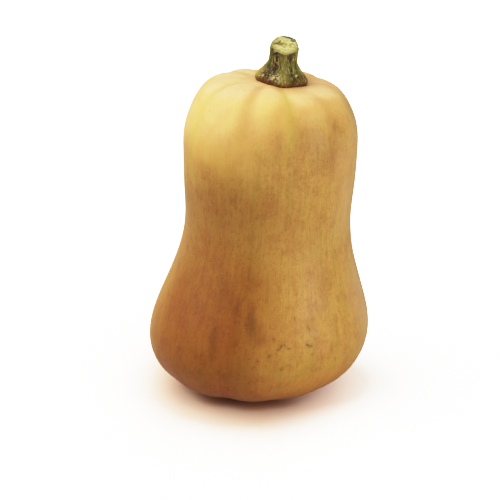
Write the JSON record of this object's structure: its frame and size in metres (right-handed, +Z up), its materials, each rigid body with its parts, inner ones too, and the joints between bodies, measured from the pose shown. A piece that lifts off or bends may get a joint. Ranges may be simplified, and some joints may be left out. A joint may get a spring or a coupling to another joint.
{
  "type": "butternut squash",
  "caption": "Whole butternut squash standing on its blossom end: a stout furrowed neck over a fuller bulb, with a short ridged stem stump",
  "frame": {"origin": "on the surface that the squash stands on, under the middle of its box", "axes": "+Z up along the squash from its blossom end to its stem; -Y is the side with the strongest front furrow, +X is the side towards which the neck leans a little"},
  "size_m": [0.1546, 0.1546, 0.2489],
  "materials": {
    "squash_skin": "satin",
    "dry_stem": "matte"
  },
  "bodies": {
    "root": {"squash_fruit": "squash_skin", "squash_stem": "dry_stem"}
  },
  "joints": []
}
